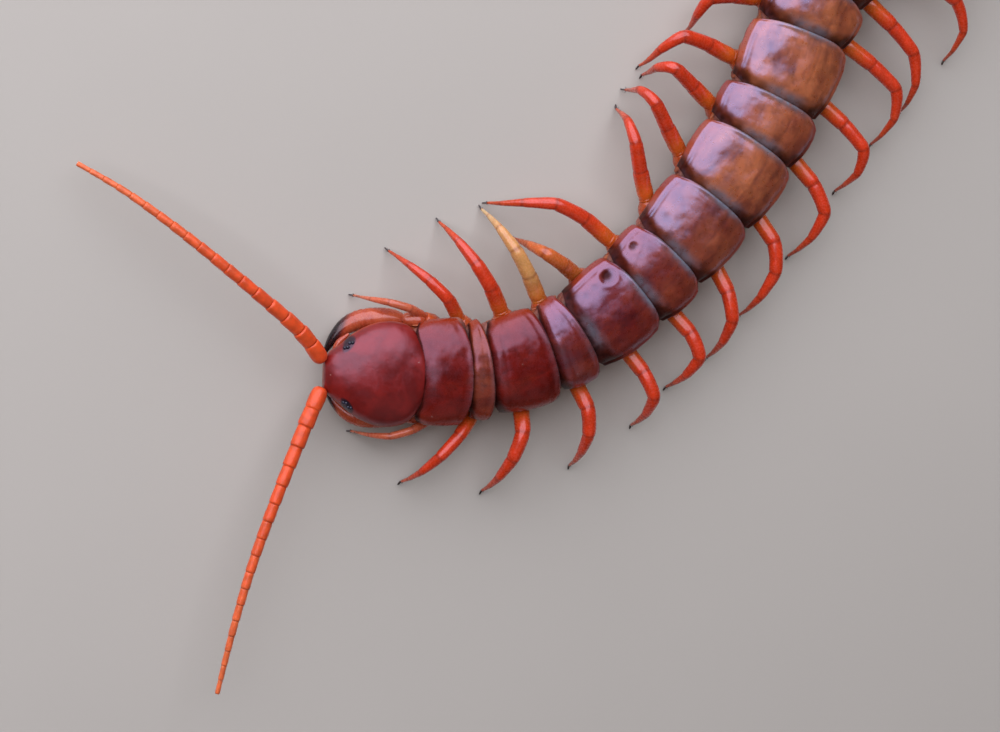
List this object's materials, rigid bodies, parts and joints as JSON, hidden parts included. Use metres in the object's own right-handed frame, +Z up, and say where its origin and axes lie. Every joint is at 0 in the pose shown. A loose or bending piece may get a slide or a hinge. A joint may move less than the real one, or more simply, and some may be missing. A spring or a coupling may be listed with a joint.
{
  "type": "giant centipede",
  "caption": "Still, life-size giant centipede with glossy dark red plates, red-orange legs and antennae and its body in a loose S, standing on its feet.",
  "frame": {"origin": "middle of the model's box, on the floor that its feet stand on", "axes": "+Z up, +Y along the body from the head to the tail, +X to the animal's left at the middle of the body"},
  "size_m": [0.0753, 0.2283, 0.01],
  "materials": {
    "head_shield": "glossy crimson cuticle",
    "shell": "glossy red-brown cuticle",
    "leg": "smooth red-orange cuticle, black claw",
    "amber_leg": "smooth amber cuticle",
    "antenna": "ringed red-orange cuticle",
    "claw": "glossy orange cuticle with black tips",
    "eye": "glossy black lenses"
  },
  "bodies": {
    "root": {"head": "head_shield", "coxosternite": "claw", "mouthparts": "claw", "eye_left": "eye", "eye_right": "eye", "antenna_left": "antenna", "antenna_right": "antenna", "forcipule_left": "claw", "forcipule_right": "claw", "trunk_1": "shell", "trunk_2": "shell", "trunk_3": "shell", "trunk_4": "shell", "trunk_5": "shell", "trunk_6": "shell", "trunk_7": "shell", "leg_left_01": "leg", "leg_left_02": "leg", "leg_left_03": "leg", "leg_left_04": "leg", "leg_left_05": "leg", "leg_left_06": "leg", "leg_left_07": "leg", "leg_left_08": "leg", "leg_left_09": "leg", "leg_left_10": "leg", "leg_left_11": "leg", "leg_left_12": "leg", "leg_left_13": "leg", "leg_left_14": "leg", "leg_left_15": "leg", "leg_left_16": "leg", "leg_left_17": "leg", "leg_left_18": "leg", "leg_left_19": "leg", "leg_left_20": "leg", "leg_left_21": "leg", "leg_right_01": "leg", "leg_right_02": "leg", "leg_right_03": "leg", "leg_right_04": "amber_leg", "leg_right_05": "leg", "leg_right_06": "leg", "leg_right_07": "leg", "leg_right_08": "leg", "leg_right_09": "leg", "leg_right_10": "leg", "leg_right_11": "leg", "leg_right_12": "leg", "leg_right_13": "leg", "leg_right_14": "leg", "leg_right_15": "leg", "leg_right_16": "leg", "leg_right_17": "leg", "leg_right_18": "leg", "leg_right_19": "leg", "leg_right_20": "leg", "leg_right_21": "leg"}
  },
  "joints": []
}
